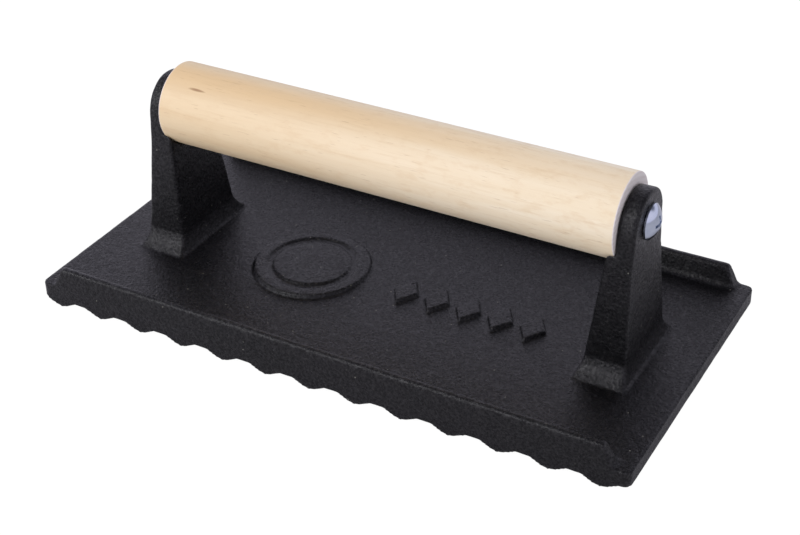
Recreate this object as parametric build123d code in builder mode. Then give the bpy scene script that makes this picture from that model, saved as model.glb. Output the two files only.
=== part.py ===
from build123d import *
import os
from math import asin, atan, radians, sqrt, tan

os.makedirs("parts", exist_ok=True)

# A grill press: an iron casting with a ribbed underside, two posts and a turned wooden handle.
# Millimetres. The origin is the middle of the footprint, on the crests of the ribs.
# X runs along the handle, Y across the plate and Z up.

# Plate
plate_length = 210.0
plate_depth = 106.7
plate_top = 7.7
plate_corner_radius = 2.4

# Ribs of the underside, which run across the plate
rib_pitch_wanted = 16.0
rib_depth = 2.2
rib_offset = -0.9
rib_land = 1.0
rib_flank_angle = 26.0
rib_crest_radius = 3.6
rib_valley_radius = 9.4

# Lips along the two long sides
lip_height = 7.1
lip_crown_width = 2.6
lip_foot_width = 4.6
lip_draft = 4.0
lip_end_inset = 5.3
lip_end_run = 3.5
lip_root_radius = 2.0
lip_edge_radius = 1.1

# Handle, and its gap to the lug at each end
handle_diameter = 27.2
handle_axis_height = 56.4
handle_edge_radius = 0.3
seat_gap = 0.3

# Posts: a tapered leg, scooped out under the handle, with a thin lug at its top
post_end_inset = 17.0
post_foot_width = 32.0
post_foot_thickness = 14.8
post_top_thickness = 6.6
post_neck_height = 44.0
post_neck_radius = 60.0
post_outer_lean = 1.9
post_edge_radius = 1.0
foot_flare_height = 8.0
foot_flare_x = 1.4
foot_flare_y = 4.2
foot_flare_steps = 4
foot_flare_sink = 0.15
lug_thickness = 5.6
lug_radius = 11.2
lug_drop = 1.2

# Screws
shank_diameter = 4.8
shank_clearance = 0.1
thread_core_diameter = 3.4
thread_pitch = 2.2
thread_root_width = 1.1
thread_crest_width = 0.3
screw_length = 34.0
screw_plain_length = 8.5
screw_point_length = 5.0
head_diameter = 11.4
head_height = 3.0
head_rim = 0.5
recess_width = 5.4
recess_blade = 1.1
recess_depth = 2.0
recess_taper = 8.0
thread_sink = 0.2
pilot_clearance = 0.1
pilot_extra_depth = 2.0

# Relief on the plate's upper face: a round medallion and a row of lozenges
medallion_diameter = 40.0
medallion_height = 1.3
medallion_x = -30.0
medallion_y = -3.0
groove_diameter = 31.0
groove_width = 2.4
groove_depth = 0.6
lozenge_count = 5
lozenge_pitch = 11.4
lozenge_length = 9.4
lozenge_width = 15.0
lozenge_height = 1.3
lozenge_first_x = 6.0
relief_draft = 18.0

# Worked out from the sizes above
lip_top = plate_top + lip_height
post_outer_foot_x = plate_length / 2 - post_end_inset
post_inner_foot_x = post_outer_foot_x - post_foot_thickness
lug_outer_x = post_outer_foot_x - post_outer_lean
lug_inner_x = lug_outer_x - lug_thickness
post_inner_top_x = lug_outer_x - post_top_thickness
lug_centre_height = handle_axis_height - lug_drop
lug_top = lug_centre_height + lug_radius
post_rise = lug_centre_height - plate_top
post_reach = sqrt(post_rise**2 + (post_foot_width / 2) ** 2)
post_side_slope = tan(atan(post_foot_width / 2 / post_rise) - asin(lug_radius / post_reach))
post_outer_slope = post_outer_lean / (post_neck_height - plate_top)
post_inner_slope = (post_inner_top_x - post_inner_foot_x) / (lug_top - plate_top)
handle_length = 2 * (lug_inner_x - seat_gap)
head_seat_x = lug_outer_x + seat_gap
rib_count = round(plate_length / rib_pitch_wanted)
rib_pitch = plate_length / rib_count
rib_flank_run = rib_depth / tan(radians(rib_flank_angle))
lip_foot_end_x = plate_length / 2 - lip_end_inset
handle_radius = handle_diameter / 2
right_seat = Plane((head_seat_x, 0, handle_axis_height), x_dir=(0, 1, 0), z_dir=(1, 0, 0))
left_seat = Plane((-head_seat_x, 0, handle_axis_height), x_dir=(0, -1, 0), z_dir=(-1, 0, 0))
tiny = 0.001


def half_depth(height):
    """Half the depth over the lips' outer faces at a height above the plate's, where they lean in."""
    return plate_depth / 2 - (height - plate_top) * tan(radians(lip_draft))


def underside_points():
    """Corners of the underside's outline before rounding, with part of a valley at each end."""
    crest_edge = rib_land / 2 + rib_crest_radius * tan(radians(rib_flank_angle / 2))
    valley_edge = crest_edge + rib_flank_run
    points = []
    for i in range(rib_count):
        crest_x = rib_offset + (i - (rib_count - 1) / 2) * rib_pitch
        points += [
            (crest_x - valley_edge, rib_depth),
            (crest_x - crest_edge, 0),
            (crest_x + crest_edge, 0),
            (crest_x + valley_edge, rib_depth),
        ]
    return points


def foot_flare(height, reach):
    """How far a post's foot stands out at a height above the plate, on an arc that ends inside the post."""
    radius = (foot_flare_height**2 + reach**2) / (2 * reach)
    return radius - sqrt(radius**2 - (foot_flare_height - height) ** 2) - foot_flare_sink


def at_lip_root(edge):
    """Whether an edge of the plate's upper face runs along a lip's inner side or round its end."""
    middle = edge.center()
    inner_y = half_depth(plate_top) - lip_foot_width
    in_lip_depth = inner_y - tiny < abs(middle.Y) < half_depth(plate_top) - tiny
    return in_lip_depth and abs(middle.X) < lip_foot_end_x + tiny


# One post, on the right: the outline seen along the handle, cut by the outline seen from the front
with BuildPart() as post:
    with BuildSketch(Plane.YZ.offset(post_inner_foot_x)):
        with BuildLine():
            Line((-post_foot_width / 2, plate_top), (post_foot_width / 2, plate_top))
            CenterArc((0, lug_centre_height), lug_radius, 0, 360)
        make_hull()
    extrude(amount=post_foot_thickness)
    with BuildSketch(Plane.XZ) as post_front:
        Polygon(
            (post_inner_foot_x, plate_top),
            (post_outer_foot_x, plate_top),
            (lug_outer_x, post_neck_height),
            (lug_outer_x, lug_top),
            (post_inner_top_x, lug_top),
            align=None,
        )
        neck = post_front.vertices().filter_by(lambda v: abs(v.Y - post_neck_height) < tiny)
        fillet(neck, post_neck_radius)
    extrude(amount=post_foot_width, both=True, mode=Mode.INTERSECT)
    rims = post.edges().filter_by(Axis.X, reverse=True).filter_by(Axis.Y, reverse=True)
    fillet(rims, post_edge_radius)
    for i in range(foot_flare_steps + 1):
        height = foot_flare_height * i / foot_flare_steps
        outer_x = post_outer_foot_x - post_outer_slope * height + foot_flare(height, foot_flare_x)
        inner_x = post_inner_foot_x + post_inner_slope * height - foot_flare(height, foot_flare_x)
        half_width = post_foot_width / 2 - post_side_slope * height + foot_flare(height, foot_flare_y)
        with BuildSketch(Plane.XY.offset(plate_top + height)):
            with Locations(((outer_x + inner_x) / 2, 0)):
                RectangleRounded(outer_x - inner_x, 2 * half_width, post_edge_radius)
    loft(ruled=True)

# The casting: plate, ribs, lips, posts and relief in one piece
with BuildPart() as press_body:
    with BuildSketch(Plane.XZ) as plate_section:
        with BuildLine():
            Polyline(
                (-plate_length / 2, plate_top),
                (-plate_length / 2, rib_depth),
                *underside_points(),
                (plate_length / 2, rib_depth),
                (plate_length / 2, plate_top),
                close=True,
            )
        make_face()
        wave = plate_section.vertices().filter_by(lambda v: abs(v.X) < plate_length / 2 - tiny)
        fillet(wave.filter_by(lambda v: v.Y < rib_depth / 2), rib_crest_radius)
        fillet(wave.filter_by(lambda v: v.Y > rib_depth / 2), rib_valley_radius)
    extrude(amount=plate_depth / 2, both=True)
    with BuildSketch(Plane.XY):
        RectangleRounded(plate_length, plate_depth, plate_corner_radius)
    extrude(amount=plate_top, mode=Mode.INTERSECT)

    for side in (1, -1):
        with BuildSketch(Plane.XY.offset(plate_top)):
            with Locations((0, side * (half_depth(plate_top) - lip_foot_width / 2))):
                Rectangle(2 * lip_foot_end_x, lip_foot_width)
        with BuildSketch(Plane.XY.offset(lip_top)):
            with Locations((0, side * (half_depth(lip_top) - lip_crown_width / 2))):
                Rectangle(2 * (lip_foot_end_x - lip_end_run), lip_crown_width)
        loft()
    top_seams = press_body.edges().filter_by(lambda e: abs(e.center().Z - plate_top) < tiny)
    fillet(top_seams.filter_by(at_lip_root), lip_root_radius)
    fillet(press_body.edges().group_by(Axis.Z)[-1], lip_edge_radius)

    add(post.part)
    add(post.part.mirror(Plane.YZ))

    with BuildSketch(Plane.XY.offset(plate_top)):
        with Locations((medallion_x, medallion_y)):
            Circle(medallion_diameter / 2)
    extrude(amount=medallion_height, taper=relief_draft)
    with BuildSketch(Plane.XY.offset(plate_top + medallion_height)):
        with Locations((medallion_x, medallion_y)):
            Circle(groove_diameter / 2)
            Circle(groove_diameter / 2 - groove_width, mode=Mode.SUBTRACT)
    extrude(amount=-groove_depth, mode=Mode.SUBTRACT)
    with BuildSketch(Plane.XY.offset(plate_top)):
        with Locations(*[(lozenge_first_x + i * lozenge_pitch, medallion_y) for i in range(lozenge_count)]):
            Polygon(
                (-lozenge_length / 2, 0),
                (0, -lozenge_width / 2),
                (lozenge_length / 2, 0),
                (0, lozenge_width / 2),
                align=None,
            )
    extrude(amount=lozenge_height, taper=relief_draft)

    # The scoop that seats the handle in each post, and the screw's hole through each lug
    with BuildSketch(Plane.YZ.offset(-lug_inner_x)):
        with Locations((0, handle_axis_height)):
            Circle(handle_radius + seat_gap)
    extrude(amount=2 * lug_inner_x, mode=Mode.SUBTRACT)
    with BuildSketch(Plane.YZ.offset(-post_outer_foot_x)):
        with Locations((0, handle_axis_height)):
            Circle(shank_diameter / 2 + shank_clearance)
    extrude(amount=2 * post_outer_foot_x, mode=Mode.SUBTRACT)

# The handle: a turned wooden cylinder with a stepped hole in each end for the screws
with BuildPart() as handle:
    with BuildSketch(Plane.YZ.offset(-handle_length / 2)):
        with Locations((0, handle_axis_height)):
            Circle(handle_radius)
    extrude(amount=handle_length)
    fillet(handle.edges().filter_by(GeomType.CIRCLE), handle_edge_radius)
    for end in (right_seat, left_seat):
        mouth_depth = lug_thickness + 2 * seat_gap
        mouth = end.offset(-mouth_depth)
        with BuildSketch(mouth):
            Circle(shank_diameter / 2 + shank_clearance)
        extrude(amount=-(screw_plain_length - mouth_depth), mode=Mode.SUBTRACT)
        with BuildSketch(mouth):
            Circle(thread_core_diameter / 2 + pilot_clearance)
        extrude(amount=-(screw_length + pilot_extra_depth - mouth_depth), mode=Mode.SUBTRACT)


def make_screw(seat):
    """A pan-head wood screw, its head on the plane `seat` and its point on that plane's far side."""
    side = Plane(seat.origin, x_dir=seat.x_dir, z_dir=-seat.y_dir)
    core = thread_core_diameter / 2
    thread_depth = shank_diameter / 2 - core
    thread_foot = seat.origin - seat.z_dir * (screw_length - screw_point_length)
    thread_length = screw_length - screw_point_length - screw_plain_length - thread_root_width
    helix = Helix(thread_pitch, thread_length, core, center=thread_foot, direction=seat.z_dir)
    radial = (helix @ 0 - thread_foot).normalized()
    with BuildPart() as screw:
        with BuildSketch(side):
            with BuildLine():
                dome = TangentArc((0, head_height), (head_diameter / 2, head_rim), tangent=(1, 0))
                Polyline(
                    dome @ 1,
                    (head_diameter / 2, 0),
                    (shank_diameter / 2, 0),
                    (shank_diameter / 2, -screw_plain_length + thread_depth),
                    (core, -screw_plain_length),
                    (core, -(screw_length - screw_point_length)),
                    (0, -screw_length),
                    (0, head_height),
                )
            make_face()
        revolve(axis=Axis(seat.origin, seat.z_dir))
        with BuildSketch(seat.offset(head_height)):
            Rectangle(recess_width, recess_blade)
            Rectangle(recess_blade, recess_width)
        extrude(amount=-recess_depth, taper=recess_taper, mode=Mode.SUBTRACT)
        with BuildSketch(Plane(helix @ 0, x_dir=radial, z_dir=helix % 0)) as thread_section:
            Polygon(
                (-thread_sink, -thread_root_width / 2),
                (thread_depth, -thread_crest_width / 2),
                (thread_depth, thread_crest_width / 2),
                (-thread_sink, thread_root_width / 2),
                align=None,
            )
        sweep(sections=thread_section.sketch, path=helix, is_frenet=True)
    return screw.part


screw_right = make_screw(right_seat)
screw_left = make_screw(left_seat)

press_body.part.label = "press_body"
handle.part.label = "handle"
screw_right.label = "screw_right"
screw_left.label = "screw_left"
export_step(press_body.part, "parts/press_body.step")
export_step(handle.part, "parts/handle.step")
export_step(screw_right, "parts/screw_right.step")
export_step(screw_left, "parts/screw_left.step")
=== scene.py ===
from math import cos, pi, radians, sin

import bmesh
import bpy
import numpy as np
from mathutils import Matrix, Vector, noise
from mathutils.bvhtree import BVHTree


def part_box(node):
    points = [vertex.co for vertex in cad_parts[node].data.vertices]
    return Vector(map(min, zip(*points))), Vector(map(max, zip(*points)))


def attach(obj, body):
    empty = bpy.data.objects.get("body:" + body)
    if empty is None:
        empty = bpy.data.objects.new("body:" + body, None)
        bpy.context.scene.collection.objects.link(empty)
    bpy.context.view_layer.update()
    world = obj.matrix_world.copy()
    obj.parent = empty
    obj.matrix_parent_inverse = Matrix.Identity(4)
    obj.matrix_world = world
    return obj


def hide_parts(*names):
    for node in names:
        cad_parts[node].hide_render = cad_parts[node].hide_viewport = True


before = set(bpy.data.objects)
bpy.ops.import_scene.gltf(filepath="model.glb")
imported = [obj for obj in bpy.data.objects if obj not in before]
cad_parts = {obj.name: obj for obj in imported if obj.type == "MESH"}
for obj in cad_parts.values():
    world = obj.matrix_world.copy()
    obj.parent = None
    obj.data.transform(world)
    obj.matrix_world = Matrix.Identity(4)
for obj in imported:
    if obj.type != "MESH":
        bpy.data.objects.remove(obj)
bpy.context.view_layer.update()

mm = 0.001


def rgb(red, green, blue):
    """A colour given as 8-bit sRGB, as the linear values that a shader takes."""
    shares = [level / 255 for level in (red, green, blue)]
    linear = [share / 12.92 if share <= 0.04045 else ((share + 0.055) / 1.055) ** 2.4 for share in shares]
    return (*linear, 1.0)


# Places and sizes read from the frame
handle_low, handle_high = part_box("handle")
handle_radius = (handle_high.z - handle_low.z) / 2
handle_axis_height = (handle_high.z + handle_low.z) / 2
handle_half = handle_high.x

# The photograph's camera: direction, distance and aim, solved from the press's own edges
camera_azimuth = radians(29.693)
camera_elevation = radians(33.125)
camera_roll = radians(-1.134)
camera_distance = 530.791 * mm
camera_aim_right = 1.590 * mm
camera_aim_up = 11.902 * mm
camera_lens = 71.78
camera_sensor = 36.0
camera_nearest = 0.01
camera_farthest = 20

# Iron's tones, and the share that each layer takes at most
iron_tones = rgb(8, 8, 10), rgb(12, 11, 14)
iron_mottle_tone = rgb(10, 9, 9)
iron_ridge_tone = rgb(44, 44, 48)
# The pale speck tone is partly dust and partly painted highlight: small bright glints painted into the iron's
# colour
iron_dust_and_glint_tone = rgb(120, 118, 112)
iron_mottle_share = 0.5
iron_ridge_share = 0.05
iron_dust_and_glint_share = 0.8

# Iron's grain: cells in a metre of each layer, and how high the layers stand
iron_cloud_scale = 45
iron_mottle_scale = 380
iron_pebble_scale = 1250
iron_grain_scale = 2600
iron_pit_scale = 95
# Cells of the pale specks, which are dust and painted glints
iron_dust_and_glint_scale = 210
iron_dust_and_glint_offset = (13 * mm, 7 * mm, 2 * mm)
iron_mottle_rise = 1.6
iron_pebble_rise = 1.0
iron_grain_rise = 1.5
iron_grain_depth = 0.11 * mm
iron_pit_depth = 0.25 * mm
iron_pit_strength = 0.8

# Iron's layers: the span of each one's own values over which it comes in
iron_cloud_span = 0.35, 0.65
iron_mottle_span = 0.5, 0.75
iron_roughness_span = 0.3, 0.7
iron_shine_span = 0.80, 1.60
iron_pit_span = 0.03, 0.085
iron_dust_and_glint_span = 0.035, 0.06

# Iron's shine: the tops of the grain are the brightest, and the hollows of the casting the smoothest
iron_shine = 0.17, 0.44
iron_roughness = 0.22, 0.32
iron_hollow_polish = 0.05

# Wood's tones, the first two from the left end to the right end, and the share of each layer
wood_creams = rgb(231, 207, 174), rgb(246, 232, 213)
wood_tans = rgb(224, 196, 160), rgb(240, 222, 197)
wood_band_tone = rgb(228, 196, 155)
wood_cloud_tone = rgb(221, 191, 155)
wood_fibre_tone = rgb(210, 178, 138)
wood_pore_tone = rgb(176, 140, 104)
wood_streak_tone = rgb(150, 108, 72)
wood_end_tones = rgb(238, 230, 236), rgb(222, 209, 214)
wood_cloud_share = 0.35
wood_fibre_share = 0.30
wood_pore_share = 0.30
wood_streak_share = 0.8
wood_ring_share = 0.5

# Wood's grain: cells in a metre along the handle and across it
wood_sway_scale = (14, 1, 1)
wood_board_scale = (7, 150, 150)
wood_fibre_scale = (60, 1100, 1100)
wood_cloud_scale = (150, 330, 330)
wood_pore_scale = (190, 2300, 2300)
wood_streak_scale = (90, 1500, 1500)
wood_ring_scale = 180
wood_ring_offset = (0, 12 * mm, -20 * mm)
wood_ring_waver = 1.5
wood_fibre_rise = 0.6
wood_grain_depth = 0.05 * mm

# Wood's layers: the span of each one's own values over which it comes in
wood_board_span = 0.32, 0.68
wood_cloud_span = 0.48, 0.72
wood_fibre_span = 0.50, 0.80
wood_pore_span = 0.68, 0.76
wood_streak_span = 0.45, 1.2
wood_roughness_span = 0.3, 0.7

# Wood's shine
wood_roughness = 0.46, 0.56
wood_sheen = 0.12
wood_sheen_roughness = 0.35

# The handle's tan band and dark streak: angles go round the axis from the front, over the top.
# The band sways by, and fades over, angles in radians.
band_middle = radians(72)
band_sway = 0.5
band_fade = 0.05, 0.55
band_right_share = 0.35
streak_x = -67.5 * mm
streak_half_length = 4.5 * mm
streak_angle = radians(52)
streak_half_angle = radians(3)
streak_raggedness = 0.9

# Zinc plate
zinc_tones = rgb(176, 186, 203), rgb(206, 213, 224)
zinc_cloud_scale = 500
zinc_ripple_scale = 1800
zinc_ripple_depth = 0.01 * mm
zinc_roughness_span = 0.3, 0.7
zinc_roughness = 0.12, 0.20

# The casting's net of faces
weld_distance = 0.001 * mm
voxel_size = 0.62 * mm
casting_triangles = 190000

# The casting's skin: the share of the way that a vertex goes to its neighbours' mean, each lump's
# (size, height), how far the skin lies below the solid's faces, and the bends that show in full
first_softening = 0.5
last_softening = 0.35
lumps = (9 * mm, 0.07 * mm), (2.6 * mm, 0.05 * mm)
skin_inset = 0.03 * mm
bend_passes = 3
hollow_radius = 3 * mm
ridge_radius = 1.5 * mm

# The handle's mesh, and how near its end faces the end grain comes in
handle_rim = 0.3 * mm
rim_steps = 6
handle_stations = 80
handle_segments = 160
end_ring_shares = 0, 0.35, 0.7
end_face_blend = 0.5 * mm, 0.1 * mm

# Studio: the floor and the surround, in the light that they give and as the press mirrors them.
# The mirrored wall fades between two heights, each the upward part of a direction.
floor_half = 3.0
floor_tone = (0.85, 0.85, 0.85, 1)
floor_mirrored = (0.70, 0.68, 0.76, 1)
floor_glow = 1.05
floor_glow_share = 0.94
white = (1, 1, 1, 1)
surround_tone = (0.66, 0.66, 0.66, 1)
wall_low_mirrored = (0.86, 0.83, 0.98, 1)
wall_high_mirrored = (0.34, 0.33, 0.40, 1)
wall_fade = 0.64, 0.84
dark_panel_mirrored = (0.10, 0.11, 0.14, 1)
dark_panel_heading = Vector((0.50, 0.58, 0.67)).normalized()
dark_panel_edge = cos(radians(30)), cos(radians(15))
lamp_aim = (0, 0, 30 * mm)
key_place, key_width, key_power = (-0.42, -0.82, 0.36), 0.45, 2.2
upper_place, upper_width, upper_power = (-0.42, -0.55, 0.75), 0.3, 2.2


# Nodes

class Graph:
    """Short calls for the nodes of one material or world, which start empty."""

    def __init__(self, owner):
        owner.use_nodes = True
        self.nodes = owner.node_tree.nodes
        self.links = owner.node_tree.links
        self.nodes.clear()

    def link(self, value, socket):
        """Gives a socket a number, a colour or another socket's value."""
        if isinstance(value, (int, float, tuple)):
            socket.default_value = value
        else:
            self.links.new(value, socket)

    def position(self):
        return self.nodes.new("ShaderNodeTexCoord").outputs["Object"]

    def mapping(self, vector, scale=(1, 1, 1), offset=(0, 0, 0)):
        node = self.nodes.new("ShaderNodeMapping")
        self.link(vector, node.inputs["Vector"])
        node.inputs["Scale"].default_value = scale
        node.inputs["Location"].default_value = offset
        return node.outputs[0]

    def split(self, vector):
        node = self.nodes.new("ShaderNodeSeparateXYZ")
        self.link(vector, node.inputs[0])
        return node.outputs

    def noise(self, vector, scale, detail=2.0, roughness=0.5, distortion=0.0):
        node = self.nodes.new("ShaderNodeTexNoise")
        self.link(vector, node.inputs["Vector"])
        node.inputs["Scale"].default_value = scale
        node.inputs["Detail"].default_value = detail
        node.inputs["Roughness"].default_value = roughness
        node.inputs["Distortion"].default_value = distortion
        return node.outputs["Fac"]

    def grain(self, vector, scale, detail=2.0, roughness=0.5, distortion=0.0):
        """Noise with a scale of its own along each axis."""
        return self.noise(self.mapping(vector, scale), 1.0, detail, roughness, distortion)

    def cells(self, vector, scale, feature="F1"):
        node = self.nodes.new("ShaderNodeTexVoronoi")
        node.feature = feature
        self.link(vector, node.inputs["Vector"])
        node.inputs["Scale"].default_value = scale
        return node.outputs["Distance"]

    def remap(self, value, low, high, to_low=0.0, to_high=1.0):
        node = self.nodes.new("ShaderNodeMapRange")
        node.interpolation_type = "SMOOTHSTEP"
        self.link(value, node.inputs["Value"])
        for name, number in (("From Min", low), ("From Max", high), ("To Min", to_low), ("To Max", to_high)):
            node.inputs[name].default_value = number
        return node.outputs["Result"]

    def math(self, operation, a, b=0.0):
        node = self.nodes.new("ShaderNodeMath")
        node.operation = operation
        self.link(a, node.inputs[0])
        self.link(b, node.inputs[1])
        return node.outputs[0]

    def add(self, a, b):
        return self.math("ADD", a, b)

    def subtract(self, a, b):
        return self.math("SUBTRACT", a, b)

    def times(self, a, b):
        return self.math("MULTIPLY", a, b)

    def distance(self, value, middle, half):
        """The square of the distance from a middle, in half widths."""
        return self.math("POWER", self.math("DIVIDE", self.subtract(value, middle), half), 2.0)

    def mix(self, factor, a, b):
        node = self.nodes.new("ShaderNodeMix")
        node.data_type = "RGBA"
        self.link(factor, node.inputs["Factor"])
        self.link(a, node.inputs["A"])
        self.link(b, node.inputs["B"])
        return node.outputs["Result"]

    def attribute(self, name):
        node = self.nodes.new("ShaderNodeAttribute")
        node.attribute_name = name
        return node.outputs["Fac"]

    def bump(self, height, distance, strength=1.0, normal=None):
        node = self.nodes.new("ShaderNodeBump")
        node.inputs["Strength"].default_value = strength
        node.inputs["Distance"].default_value = distance
        self.link(height, node.inputs["Height"])
        if normal is not None:
            self.links.new(normal, node.inputs["Normal"])
        return node.outputs[0]


# Materials

def new_material(name):
    """A new material, its graph and its Principled shader."""
    material = bpy.data.materials.new(name)
    g = Graph(material)
    output = g.nodes.new("ShaderNodeOutputMaterial")
    shader = g.nodes.new("ShaderNodeBsdfPrincipled")
    g.link(shader.outputs[0], output.inputs["Surface"])
    return material, g, shader


def seasoned_iron():
    """Black seasoned cast iron: a dark satin skin over sand-cast grain, smoother in the hollows."""
    material, g, shader = new_material("seasoned_iron")
    place = g.position()
    cloud = g.noise(place, iron_cloud_scale, detail=3)
    mottle = g.noise(place, iron_mottle_scale, detail=3, roughness=0.6)
    pebbles = g.cells(place, iron_pebble_scale, "SMOOTH_F1")
    grain = g.noise(place, iron_grain_scale, roughness=0.6)
    pits = g.remap(g.cells(place, iron_pit_scale), *iron_pit_span)
    # Pale specks: dust, and painted glints that stand in for highlights on the grain
    specks = g.cells(g.mapping(place, offset=iron_dust_and_glint_offset), iron_dust_and_glint_scale)
    dust_and_glint_specks = g.remap(specks, *iron_dust_and_glint_span, 1.0, 0.0)

    tone = g.mix(g.remap(cloud, *iron_cloud_span), *iron_tones)
    tone = g.mix(g.times(g.remap(mottle, *iron_mottle_span), iron_mottle_share), tone, iron_mottle_tone)
    tone = g.mix(g.times(g.attribute("ridge"), iron_ridge_share), tone, iron_ridge_tone)
    tone = g.mix(g.times(dust_and_glint_specks, iron_dust_and_glint_share), tone, iron_dust_and_glint_tone)
    g.link(tone, shader.inputs["Base Color"])

    rough = g.remap(mottle, *iron_roughness_span, *iron_roughness)
    rough = g.subtract(rough, g.times(g.attribute("hollow"), iron_hollow_polish))
    g.link(rough, shader.inputs["Roughness"])

    height = g.add(g.times(pebbles, iron_pebble_rise), g.times(grain, iron_grain_rise))
    g.link(g.remap(height, *iron_shine_span, *iron_shine), shader.inputs["Specular IOR Level"])
    height = g.add(height, g.times(mottle, iron_mottle_rise))
    fine = g.bump(height, iron_grain_depth)
    g.link(g.bump(pits, iron_pit_depth, iron_pit_strength, fine), shader.inputs["Normal"])
    return material


def tan_band(g, along, angle, place):
    """The share of the tan band, which sways about its own angle and fades to the right."""
    sway = g.subtract(g.grain(place, wood_sway_scale), 0.5)
    swayed = g.add(angle, g.times(sway, band_sway))
    off_middle = g.math("ABSOLUTE", g.subtract(swayed, band_middle))
    band = g.remap(off_middle, *band_fade, 1.0, 0.0)
    return g.times(band, g.remap(along, -handle_half, handle_half, 1.0, band_right_share))


def dark_streak(g, along, angle, place):
    """The share of the one short dark streak in the grain, with ragged edges."""
    off_middle = g.add(g.distance(along, streak_x, streak_half_length),
                       g.distance(angle, streak_angle, streak_half_angle))
    ragged = g.times(g.grain(place, wood_streak_scale), streak_raggedness)
    return g.remap(g.add(off_middle, ragged), *wood_streak_span, 1.0, 0.0)


def growth_rings(g, place):
    """The pale end grain, with its rings."""
    rings = g.nodes.new("ShaderNodeTexWave")
    rings.wave_type = "RINGS"
    rings.rings_direction = "X"
    g.link(g.mapping(place, offset=wood_ring_offset), rings.inputs["Vector"])
    rings.inputs["Scale"].default_value = wood_ring_scale
    rings.inputs["Distortion"].default_value = wood_ring_waver
    rings.inputs["Detail"].default_value = 2
    return g.mix(g.times(rings.outputs["Fac"], wood_ring_share), *wood_end_tones)


def pale_wood():
    """Sanded birch: cream, with a tan band along one side, soft streaks, short pores and pale end grain."""
    material, g, shader = new_material("pale_wood")
    place = g.position()
    along, across, height = g.split(place)
    angle = g.math("ARCTAN2", g.subtract(height, handle_axis_height), g.times(across, -1.0))
    rightward = g.remap(along, -handle_half, handle_half)
    boards = g.grain(place, wood_board_scale, detail=3, roughness=0.55, distortion=0.4)
    fibre = g.grain(place, wood_fibre_scale, detail=3, roughness=0.6)
    cloud = g.grain(place, wood_cloud_scale, detail=3, roughness=0.65)
    pores = g.grain(place, wood_pore_scale, detail=1)

    cream = g.mix(rightward, *wood_creams)
    tan = g.mix(rightward, *wood_tans)
    tone = g.mix(g.remap(boards, *wood_board_span), cream, tan)
    tone = g.mix(tan_band(g, along, angle, place), tone, wood_band_tone)
    tone = g.mix(g.times(g.remap(cloud, *wood_cloud_span), wood_cloud_share), tone, wood_cloud_tone)
    tone = g.mix(g.times(g.remap(fibre, *wood_fibre_span), wood_fibre_share), tone, wood_fibre_tone)
    tone = g.mix(g.times(g.remap(pores, *wood_pore_span), wood_pore_share), tone, wood_pore_tone)
    tone = g.mix(g.times(dark_streak(g, along, angle, place), wood_streak_share), tone, wood_streak_tone)
    off_end, on_end = (handle_half - blend for blend in end_face_blend)
    tone = g.mix(g.remap(g.math("ABSOLUTE", along), off_end, on_end), tone, growth_rings(g, place))
    g.link(tone, shader.inputs["Base Color"])

    g.link(g.remap(boards, *wood_roughness_span, *wood_roughness), shader.inputs["Roughness"])
    shader.inputs["Sheen Weight"].default_value = wood_sheen
    shader.inputs["Sheen Roughness"].default_value = wood_sheen_roughness
    relief = g.times(g.subtract(fibre, pores), wood_fibre_rise)
    g.link(g.bump(relief, wood_grain_depth), shader.inputs["Normal"])
    return material


def zinc_plate():
    """Bright zinc plate with a faint blue cast."""
    material, g, shader = new_material("zinc_plate")
    place = g.position()
    cloud = g.noise(place, zinc_cloud_scale, detail=3)
    g.link(g.mix(cloud, *zinc_tones), shader.inputs["Base Color"])
    shader.inputs["Metallic"].default_value = 1.0
    g.link(g.remap(cloud, *zinc_roughness_span, *zinc_roughness), shader.inputs["Roughness"])
    g.link(g.bump(g.noise(place, zinc_ripple_scale), zinc_ripple_depth), shader.inputs["Normal"])
    return material


# Meshes

def link_piece(name, mesh, material, body, node):
    """Puts a mesh in the scene as a smooth piece that rides on a body in a CAD node's place."""
    piece = bpy.data.objects.new(name, mesh)
    bpy.context.scene.collection.objects.link(piece)
    mesh.materials.clear()
    mesh.materials.append(material)
    for polygon in mesh.polygons:
        polygon.use_smooth = True
    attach(piece, body)
    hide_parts(node)


def vertex_vectors(mesh, name):
    """The "co" or the "normal" of each vertex, as rows."""
    flat = np.zeros(len(mesh.vertices) * 3, np.float32)
    mesh.vertices.foreach_get(name, flat)
    return flat.reshape(-1, 3).astype(float)


def set_places(mesh, points):
    mesh.vertices.foreach_set("co", points.astype(np.float32).ravel())
    mesh.update()


def neighbours(mesh):
    """The two vertices of each edge, and each vertex's count of neighbours."""
    flat = np.zeros(len(mesh.edges) * 2, np.int64)
    mesh.edges.foreach_get("vertices", flat)
    return flat.reshape(-1, 2), np.bincount(flat, minlength=len(mesh.vertices)).astype(float)


def neighbour_mean(values, pairs, count):
    """Each vertex's mean over its neighbours of a value or a vector."""
    total = np.zeros_like(values)
    np.add.at(total, pairs[:, 0], values[pairs[:, 1]])
    np.add.at(total, pairs[:, 1], values[pairs[:, 0]])
    return total / (count[:, None] if values.ndim == 2 else count)


def applied(mesh, kind, **settings):
    """The mesh that a modifier makes of a mesh."""
    carrier = bpy.data.objects.new("carrier", mesh)
    bpy.context.scene.collection.objects.link(carrier)
    modifier = carrier.modifiers.new("change", kind)
    for name, value in settings.items():
        setattr(modifier, name, value)
    evaluated = carrier.evaluated_get(bpy.context.evaluated_depsgraph_get())
    result = bpy.data.meshes.new_from_object(evaluated)
    bpy.data.objects.remove(carrier)
    return result


def skin_of(node):
    """A copy of a CAD node's mesh with an even net of faces."""
    source = bpy.data.meshes.new_from_object(node)
    work = bmesh.new()
    work.from_mesh(source)
    bmesh.ops.remove_doubles(work, verts=work.verts, dist=weld_distance)
    work.to_mesh(source)
    work.free()
    return applied(source, "REMESH", mode="VOXEL", voxel_size=voxel_size)


def thinned(mesh, triangles):
    """The mesh with fewer faces where it is flat."""
    mesh.calc_loop_triangles()
    return applied(mesh, "DECIMATE", ratio=min(1.0, triangles / len(mesh.loop_triangles)))


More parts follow.
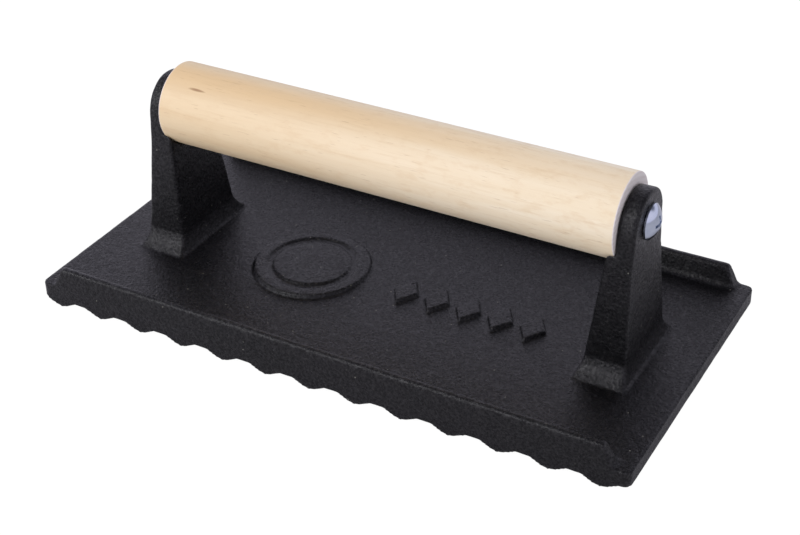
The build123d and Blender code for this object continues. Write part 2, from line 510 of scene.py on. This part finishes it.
def mark_bends(mesh):
    """Stores how hollow and how sharp the surface is at each vertex, for the material."""
    pairs, count = neighbours(mesh)
    points = vertex_vectors(mesh, "co")
    away = neighbour_mean(points, pairs, count) - points
    spread = np.linalg.norm(points[pairs[:, 0]] - points[pairs[:, 1]], axis=1)
    reach = np.zeros(len(points))
    np.add.at(reach, pairs[:, 0], spread)
    np.add.at(reach, pairs[:, 1], spread)
    reach /= count
    bend = 2 * np.einsum("ij,ij->i", away, vertex_vectors(mesh, "normal")) / reach ** 2
    for _ in range(bend_passes):
        bend = (bend + neighbour_mean(bend, pairs, count)) / 2
    for name, values in (("hollow", bend * hollow_radius), ("ridge", -bend * ridge_radius)):
        attribute = mesh.attributes.new(name, "FLOAT", "POINT")
        attribute.data.foreach_set("value", np.clip(values, 0, 1).astype(np.float32))


def casting(iron):
    """The iron casting: its edges softened and its faces a little uneven, as the sand leaves them."""
    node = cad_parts["press_body"]
    mesh = skin_of(node)
    pairs, count = neighbours(mesh)
    points = vertex_vectors(mesh, "co")
    points += first_softening * (neighbour_mean(points, pairs, count) - points)
    solid = BVHTree.FromObject(node, bpy.context.evaluated_depsgraph_get())
    points = np.array([solid.find_nearest(Vector(p))[0] for p in points])
    points += last_softening * (neighbour_mean(points, pairs, count) - points)
    set_places(mesh, points)
    rise = np.array([sum(noise.noise(Vector(p) / size) * height for size, height in lumps) for p in points])
    set_places(mesh, points + vertex_vectors(mesh, "normal") * (rise - skin_inset)[:, None])
    mesh = thinned(mesh, casting_triangles)
    mark_bends(mesh)
    link_piece("iron_casting", mesh, iron, "casting", "press_body")


def turned(name, profile, segments, height):
    """A closed surface turned from (X, radius) pairs about a line along X at a height."""
    work = bmesh.new()
    rings = []
    for along, radius in profile:
        turns = [2 * pi * i / segments for i in range(segments if radius else 1)]
        circle = [(along, radius * cos(turn), height + radius * sin(turn)) for turn in turns]
        rings.append([work.verts.new(point) for point in circle])
    for a, b in zip(rings, rings[1:]):
        for i in range(segments):
            j = (i + 1) % segments
            corners = [a[i % len(a)], a[j % len(a)], b[j % len(b)], b[i % len(b)]]
            work.faces.new(list(dict.fromkeys(corners)))
    bmesh.ops.recalc_face_normals(work, faces=work.faces)
    mesh = bpy.data.meshes.new(name)
    work.to_mesh(mesh)
    work.free()
    return mesh


def handle_profile():
    """(X, radius) pairs from the middle of the left end to the middle of the right end, with rounded rims."""
    end = [(-handle_half, handle_radius * share) for share in end_ring_shares]
    for i in range(rim_steps + 1):
        turn = pi / 2 * i / rim_steps
        end.append((-handle_half + handle_rim * (1 - cos(turn)),
                    handle_radius - handle_rim * (1 - sin(turn))))
    straight = handle_half - handle_rim
    barrel = [(straight * (2 * i / handle_stations - 1), handle_radius) for i in range(1, handle_stations)]
    return end + barrel + [(-along, radius) for along, radius in reversed(end)]


def wooden_handle(wood):
    """The turned handle, with softened rims."""
    mesh = turned("wooden_handle", handle_profile(), handle_segments, handle_axis_height)
    link_piece("wooden_handle", mesh, wood, "grip", "handle")


def plated_screws(zinc):
    """The screws keep their CAD meshes, which hold their whole shape."""
    for node in ("screw_left", "screw_right"):
        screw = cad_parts[node]
        screw.data.materials.clear()
        screw.data.materials.append(zinc)


# Camera and studio

def photo_camera():
    """The camera at the photograph's angle."""
    back = Vector((sin(camera_azimuth) * cos(camera_elevation),
                   -cos(camera_azimuth) * cos(camera_elevation),
                   sin(camera_elevation)))
    right = Vector((cos(camera_azimuth), sin(camera_azimuth), 0))
    up = back.cross(right)
    level, tilt = cos(camera_roll), sin(camera_roll)
    across = right * level + up * tilt
    upright = up * level - right * tilt
    place = back * camera_distance + across * camera_aim_right + upright * camera_aim_up
    data = bpy.data.cameras.new("photo_camera")
    data.lens = camera_lens
    data.sensor_width = camera_sensor
    data.sensor_fit = "HORIZONTAL"
    data.clip_start, data.clip_end = camera_nearest, camera_farthest
    camera = bpy.data.objects.new("photo_camera", data)
    bpy.context.scene.collection.objects.link(camera)
    turn = Matrix((across, upright, back)).transposed()
    camera.matrix_world = Matrix.Translation(place) @ turn.to_4x4()
    bpy.context.scene.camera = camera


def white_floor():
    """A floor that is white to the camera and keeps the press's shadow."""
    material = bpy.data.materials.new("white_floor")
    g = Graph(material)
    output = g.nodes.new("ShaderNodeOutputMaterial")
    diffuse = g.nodes.new("ShaderNodeBsdfDiffuse")
    glow = g.nodes.new("ShaderNodeEmission")
    mix = g.nodes.new("ShaderNodeMixShader")
    rays = g.nodes.new("ShaderNodeLightPath").outputs
    g.link(g.mix(rays["Is Glossy Ray"], floor_tone, floor_mirrored), diffuse.inputs["Color"])
    g.link(white, glow.inputs["Color"])
    g.link(floor_glow, glow.inputs["Strength"])
    g.link(g.times(rays["Is Camera Ray"], floor_glow_share), mix.inputs["Fac"])
    g.link(diffuse.outputs[0], mix.inputs[1])
    g.link(glow.outputs[0], mix.inputs[2])
    g.link(mix.outputs[0], output.inputs["Surface"])
    mesh = bpy.data.meshes.new("floor")
    corners = [(-floor_half, -floor_half, 0), (floor_half, -floor_half, 0),
               (floor_half, floor_half, 0), (-floor_half, floor_half, 0)]
    mesh.from_pydata(corners, [], [(0, 1, 2, 3)])
    mesh.materials.append(material)
    floor = bpy.data.objects.new("floor", mesh)
    bpy.context.scene.collection.objects.link(floor)


def surround():
    """White to the camera, grey light all round, and a wall that darkens upwards for mirrored rays."""
    world = bpy.data.worlds.new("surround")
    bpy.context.scene.world = world
    w = Graph(world)
    output = w.nodes.new("ShaderNodeOutputWorld")
    background = w.nodes.new("ShaderNodeBackground")
    rays = w.nodes.new("ShaderNodeLightPath").outputs
    direction = w.nodes.new("ShaderNodeTexCoord").outputs["Generated"]
    heading = w.nodes.new("ShaderNodeVectorMath")
    heading.operation = "DOT_PRODUCT"
    w.link(direction, heading.inputs[0])
    heading.inputs[1].default_value = dark_panel_heading
    panel = w.remap(heading.outputs["Value"], *dark_panel_edge)
    wall = w.mix(w.remap(w.split(direction)["Z"], *wall_fade), wall_low_mirrored, wall_high_mirrored)
    mirrored = w.mix(panel, wall, dark_panel_mirrored)
    around = w.mix(rays["Is Glossy Ray"], surround_tone, mirrored)
    seen = w.add(rays["Is Camera Ray"], rays["Is Transmission Ray"])
    w.link(w.mix(seen, around, white), background.inputs["Color"])
    w.link(background.outputs[0], output.inputs["Surface"])


def soft_light(name, place, width, power):
    """A square lamp aimed at the middle of the press."""
    data = bpy.data.lights.new(name, "AREA")
    data.size = width
    data.energy = power
    lamp = bpy.data.objects.new(name, data)
    bpy.context.scene.collection.objects.link(lamp)
    lamp.location = place
    lamp.rotation_mode = "QUATERNION"
    lamp.rotation_quaternion = (Vector(lamp_aim) - Vector(place)).to_track_quat("-Z", "Y")


iron, wood, zinc = seasoned_iron(), pale_wood(), zinc_plate()
casting(iron)
wooden_handle(wood)
plated_screws(zinc)
photo_camera()
white_floor()
surround()
soft_light("key", key_place, key_width, key_power)
soft_light("upper", upper_place, upper_width, upper_power)
bpy.context.scene.view_settings.view_transform = "Standard"
